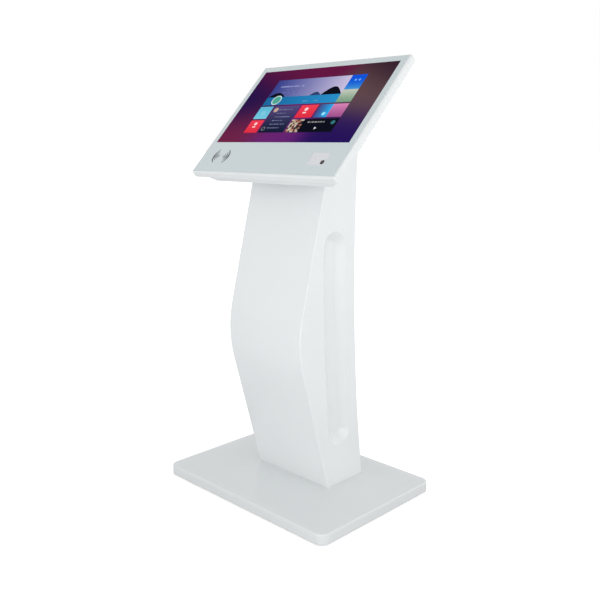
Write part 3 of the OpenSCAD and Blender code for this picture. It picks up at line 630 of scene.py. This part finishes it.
def wallpaper(p):
    """The ground: wine at the top, navy at the left, rose to indigo below, brown glow at the right."""
    w, h = ACTIVE_W / MM / 2, ACTIVE_H / MM / 2
    wine, navy, rose, violet = (100, 20, 65), (25, 15, 75), (115, 35, 70), (105, 35, 115)
    indigo, brown, plum = (35, 15, 90), (105, 80, 80), (40, 18, 35)
    colour = blend_of([(-0.7 * w, h, wine), (-0.9 * w, 0.2 * h, navy), (-0.8 * w, -0.7 * h, rose),
                       (-0.1 * w, -0.9 * h, violet), (0.7 * w, -0.9 * h, indigo), (0.8 * w, 0.3 * h, brown),
                       (w, h, plum), (0, h, wine)], 0.25 * w)
    p.grid(-w, -h, w, h, 56, 32, 0.0, colour)


def hump(p, x0, x1, base, height, level, colour, steps=12):
    """A round hill over a base line."""
    for i in range(steps):
        xa, xb = (x0 + (x1 - x0) * k / steps for k in (i, i + 1))
        ya, yb = (base + height * math.sin(math.pi * k / steps) for k in (i, i + 1))
        p.patch([(xa, base), (xb, base), (xb, yb), (xa, ya)], level, colour)


def landscape(p):
    """Wide tile: round hills under a pale sky, over a blue band with a plain disc."""
    p.grid(LEFT, ROW_BAND, SPLIT, ROW_TOP, 26, 10, LAYER, sweep(LEFT, (55, 65, 140), SPLIT, (205, 195, 225)))
    p.grid(LEFT, 0, SPLIT, ROW_BAND, 26, 5, LAYER, sweep(LEFT, (25, 105, 160), SPLIT, (40, 145, 205)))
    hump(p, LEFT, -90, ROW_BAND, 16, LAYER * 2, INK)
    hump(p, 0, 40, ROW_BAND, 12, LAYER * 2, (50, 65, 110))
    hump(p, 40, SPLIT, ROW_BAND, 28, LAYER * 2, INK)
    p.words(-130, 66, 90, 5.0, LAYER * 3, (165, 170, 225), 3)
    for y, seed in ((55, 4), (45, 5)):
        p.words(-110, y, 55, 3.0, LAYER * 3, (115, 120, 185), seed)
    for x in (-10, 30):
        p.words(x, 8, 20, 4.0, LAYER * 3, (110, 185, 230), x)
    p.disc(-112, 18, 14, LAYER * 3, (80, 170, 150))
    p.ring(-112, 18, 14, 17, 0, 360, LAYER * 3, (215, 235, 235), 36)


def side_tiles(p):
    """Right of the landscape: a bright blue tile with two dots over a pale green one."""
    p.box(SPLIT, 44, RIGHT, ROW_TOP, LAYER, fade(44, (70, 150, 215), 75, (10, 85, 220)))
    for x in (SPLIT + 20, SPLIT + 33):
        p.disc(x, 77, 3.6, LAYER * 2, (120, 175, 250))
    p.box(SPLIT, 0, RIGHT, 44, LAYER, fade(0, (120, 160, 130), 44, (200, 205, 190)))
    for y in (8, 15):
        p.words(SPLIT + 9, y, 30, 2.0, LAYER * 2, (165, 190, 160), y)


def icon(p, x, y, size, colour):
    """A plain disc with a short bar under it."""
    p.disc(x, y, size, LAYER * 2, colour)
    p.box(x - size, y - size * 2.4, x + size, y - size * 1.6, LAYER * 2, colour)


def middle_tiles(p):
    """A small light blue tile, a wide dark one with lines, a red one and two of soft colour."""
    p.box(LEFT, MID_LOW, SMALL_END, ROW_MID, LAYER, fade(MID_LOW, (120, 205, 230), ROW_MID, (95, 185, 215)))
    p.ring(-130, -28, 3.5, 6, 0, 360, LAYER * 2, (160, 215, 230))
    p.grid(WIDE_START, ROW_END, WIDE_END, ROW_MID, 12, 12, LAYER,
           fade(ROW_END, (15, 25, 50), ROW_MID, (90, 75, 130)))
    p.disc(-87, -19, 8, LAYER * 2, (200, 170, 150))
    for row, length in enumerate((50, 35, 60, 40, 55, 45)):
        p.words(-75, -20 - 13 * row, length, 3, LAYER * 2, (130, 140, 175), row + 20)
    p.ring(-88, -86, 4.5, 7, 0, 360, LAYER * 2, (130, 125, 130))
    p.box(RED_START, MID_LOW, RED_END, ROW_MID, LAYER, fade(MID_LOW, RED_LOW, ROW_MID, RED_HIGH))
    icon(p, 25, -20, 6, (255, 220, 220))
    p.grid(RED_END + GAP, MID_LOW, SPLIT, ROW_MID, 8, 8, LAYER,
           sweep(RED_END, (70, 65, 125), SPLIT, (40, 175, 240)))
    p.disc(95, -38, 6, LAYER * 2, (150, 230, 255))
    p.grid(SPLIT, MID_LOW, RIGHT, ROW_MID, 8, 8, LAYER,
           fade(MID_LOW, (160, 80, 140), ROW_MID, (220, 135, 185)))


def lower_tiles(p):
    """A small red tile, and a dark player tile with a patchwork, a line, a triangle and a disc."""
    p.box(LEFT, ROW_END, SMALL_END, ROW_LOW, LAYER, fade(ROW_END, RED_LOW, ROW_LOW, RED_HIGH))
    icon(p, -130, -68, 5.5, (255, 215, 215))
    p.box(RED_START, ROW_END, RIGHT, ROW_LOW, LAYER, INK)
    rnd = random.Random(7)
    shades = ((200, 185, 165), (180, 120, 100), (95, 60, 60), (30, 30, 35))
    patch, rim, count = 5.5, 0.5, 8
    for i in range(count):
        for j in range(count):
            shade = rnd.choice(shades)
            x, y = RED_START + i * patch, ROW_END + rim + j * patch
            p.box(x, y, x + patch, y + patch, LAYER * 2, shade)
    p.words(60, -68, 58, 4.5, LAYER * 2, (170, 170, 170), 12)
    p.disc(146, -68, 6.5, LAYER * 2, (55, 120, 130))
    p.patch([(95, -91), (95, -82), (103, -86.5)], LAYER * 2, (220, 225, 225))


def screen_picture():
    """The lit picture, a hair above the glass."""
    p = Picture()
    for part in (wallpaper, landscape, side_tiles, middle_tiles, lower_tiles):
        part(p)
    mesh = p.mesh("screen_picture")
    mesh.materials.append(glow("lit_picture"))
    lift = Matrix.Translation((0, 0, 0.06 * MM))
    return piece("screen_picture", mesh, "lcd_face", place=HEAD @ lift)


def printed_ink():
    """Dark ink on the glass."""
    return surface("printed_ink", srgb(34, 39, 42), 0.25, tone=0.06, relief=0.05)


def reader_mark():
    """A plain mark printed at the lower left: four arcs on each side of a centre, thin at their ends."""
    cx, cy, z, steps = -178.5, -184.0, 0.05, 16
    arcs = ((28.5, 52, 5.4), (21.5, 42, 4.2), (15, 34, 3.2), (9.5, 26, 2.4))   # radius, half spread, ink
    verts, faces = [], []
    for side in (0, 180):
        for r, spread, ink in arcs:
            start = len(verts)
            for i in range(steps + 1):
                k = i / steps * 2 - 1
                a = math.radians(side + spread * k)
                half = ink * (1 - 0.7 * abs(k)) / 2
                for rr in (r - half, r + half):
                    verts.append(((cx + rr * math.cos(a)) * MM, (cy + rr * math.sin(a)) * MM, z * MM))
            for a in range(start, start + 2 * steps, 2):
                faces.append((a, a + 1, a + 3, a + 2))
    mesh = mesh_of("reader_mark", verts, faces)
    mesh.materials.append(printed_ink())
    return piece("reader_mark", mesh, "sensor_black", place=HEAD)


# ---- camera, floor and light ----
CAMERA_AT = Vector((1.4263, -1.4230, 0.9445))
CAMERA_AZIMUTH, CAMERA_PITCH, CAMERA_ROLL = 44.73, -11.89, -0.22
CAMERA_LENS, CAMERA_SENSOR = 46.29, 36


FLOOR_HALF = 40
# FLOOR_NEAR is painted shade: the floor's colour darkened close to the base, in place of a cast shadow
FLOOR_NEAR, FLOOR_FAR, FLOOR_GLOW = (0.60, 0.60, 0.605, 1), (0.96, 0.96, 0.965, 1), 0.66
SHADE_SCALE = (1.1, 1.4, 1.0)            # the painted shade round the base is an oval
SHADE_END, FLOOR_START = 0.35, 1.0
SKY_LOW, SKY_HIGH, SKY_LOW_END = (1.0, 1.0, 1.0, 1), (0.46, 0.475, 0.485, 1), 0.16
LIGHT_AIM = (0, 0, 0.6)
KEY_AT, KEY_SIZE, KEY_WATTS = (2.45, -0.40, 0.95), (1.8, 1.8), 11
KEY_COLOUR = (1.0, 0.985, 0.97)
FILL_AT, FILL_SIZE, FILL_WATTS = (0.5, -2.3, 0.16), (2.6, 0.9), 17
BACK_AT, BACK_SIZE, BACK_WATTS = (1.0, 2.4, 0.90), (2.8, 1.8), 6.5


def camera():
    """The photograph's own viewpoint, as fitted to the kiosk's corners."""
    data = bpy.data.cameras.new("photo_camera")
    data.lens = CAMERA_LENS
    data.sensor_width = CAMERA_SENSOR
    data.clip_end = 100
    obj = bpy.data.objects.new("photo_camera", data)
    turn = (Matrix.Rotation(math.radians(CAMERA_AZIMUTH), 4, "Z")
            @ Matrix.Rotation(math.radians(90 + CAMERA_PITCH), 4, "X")
            @ Matrix.Rotation(math.radians(CAMERA_ROLL), 4, "Z"))
    obj.matrix_world = Matrix.Translation(CAMERA_AT) @ turn
    bpy.context.scene.collection.objects.link(obj)
    bpy.context.scene.camera = obj


def floor():
    """Pale floor: bright to look at, with a painted soft shadow round the base, where its colour is darker
    and throws back less light.
    """
    h = FLOOR_HALF
    mesh = mesh_of("floor", [(-h, -h, 0), (h, -h, 0), (h, h, 0), (-h, h, 0)], [(0, 1, 2, 3)])
    n = Nodes("floor_white")
    spread = n.add("ShaderNodeMapping")
    spread.inputs["Scale"].default_value = SHADE_SCALE
    n.link(n.where, spread.inputs["Vector"])
    far = n.add("ShaderNodeVectorMath", operation="LENGTH")
    n.link(spread.outputs["Vector"], far.inputs[0])
    shade = n.ramp(far.outputs["Value"], [(SHADE_END, FLOOR_NEAR), (FLOOR_START, FLOOR_FAR)])
    n.link(shade, n.shader.inputs["Base Color"])
    path = n.add("ShaderNodeLightPath")
    seen = n.add("ShaderNodeMath", operation="MULTIPLY")
    seen.inputs[1].default_value = FLOOR_GLOW
    n.link(path.outputs["Is Camera Ray"], seen.inputs[0])
    n.link(seen.outputs["Value"], n.shader.inputs["Emission Strength"])
    n.shader.inputs["Emission Color"].default_value = (1, 1, 1, 1)
    n.set(Roughness=0.8, Specular_IOR_Level=0.0)
    mesh.materials.append(n.material)
    obj = bpy.data.objects.new("floor", mesh)
    bpy.context.scene.collection.objects.link(obj)


def softbox(name, at, size, watts, colour=(1, 1, 1)):
    """A broad area light that faces the kiosk's middle. size is its width and height."""
    data = bpy.data.lights.new(name, "AREA")
    data.color = colour
    data.shape = "RECTANGLE"
    data.size, data.size_y = size
    data.energy = watts
    obj = bpy.data.objects.new(name, data)
    obj.location = at
    obj.rotation_euler = (Vector(LIGHT_AIM) - Vector(at)).to_track_quat("-Z", "Y").to_euler()
    bpy.context.scene.collection.objects.link(obj)


def studio():
    """White room, brightest low down, with a broad key from the right and fills front and back."""
    world = bpy.data.worlds.new("studio")
    bpy.context.scene.world = world
    world.use_nodes = True
    tree = world.node_tree
    where = tree.nodes.new("ShaderNodeTexCoord")
    split = tree.nodes.new("ShaderNodeSeparateXYZ")
    ramp = tree.nodes.new("ShaderNodeValToRGB")
    low, high = ramp.color_ramp.elements
    low.position, low.color = SKY_LOW_END, SKY_LOW
    high.position, high.color = 1.0, SKY_HIGH
    tree.links.new(where.outputs["Generated"], split.inputs["Vector"])
    tree.links.new(split.outputs["Z"], ramp.inputs["Fac"])
    tree.links.new(ramp.outputs["Color"], tree.nodes["Background"].inputs["Color"])
    softbox("key", KEY_AT, KEY_SIZE, KEY_WATTS, KEY_COLOUR)
    softbox("low_fill", FILL_AT, FILL_SIZE, FILL_WATTS)
    softbox("back_fill", BACK_AT, BACK_SIZE, BACK_WATTS)
    bpy.context.scene.view_settings.view_transform = "Standard"


# ---- the fittings that keep the CAD shape, with rounded edges ----
# Width of the rounded edges in metres, and the fittings that have them
SOFT_EDGES = {
    0.0001: ("hinge_pins", "lock_cam", "cover_screws", "fan_screws", "fan_guard"),
    0.0002: ("hinge_leaves_fixed", "hinge_leaves_door", "lock_body", "lock_keeper", "button_body",
             "rfid_board", "touch_controller", "scanner_board", "display_board"),
    0.0003: ("fan_frame", "fan_rotor", "base_bolts", "head_bolts", "upper_shelf", "lower_shelf", "lcd_rails",
             "pc_heatsink"),
    0.0005: ("rocker_switch", "button_cap", "power_inlet", "column_flange", "column_top_plate",
             "head_mount_plate", "power_supply", "lcd_module", "base_feet"),
    0.0010: ("pc_case", "socket_strip", "speaker_left", "speaker_right", "ballast_plate"),
}

# ---- the scene ----
camera()
floor()
studio()
base()
column_front()
for side, sign in (("right", 1), ("left", -1)):
    column_side(side, sign)
    pocket(side, sign)
head_frame()
cover_glass()
screen_picture()
reader_mark()
refined("column_rear_panel", 0.0004)
refined("rear_door", 0.0007)
refined("head_rear_housing", 0.0012, angle=25)
refined("head_service_cover", 0.0004)
refined("scanner_bezel", 0.0008, 3)
refined("scanner_sensor", 0.0007, 4)
for edge, nodes in SOFT_EDGES.items():
    for node in nodes:
        refined(node, edge)

# The CAD nodes that nothing replaced are carried over as they are, in their own material
for node, obj in frame["nodes"].items():
    if not obj.hide_render:
        obj.data.materials.clear()
        obj.data.materials.append(MATERIALS[SLOT_OF[node]])
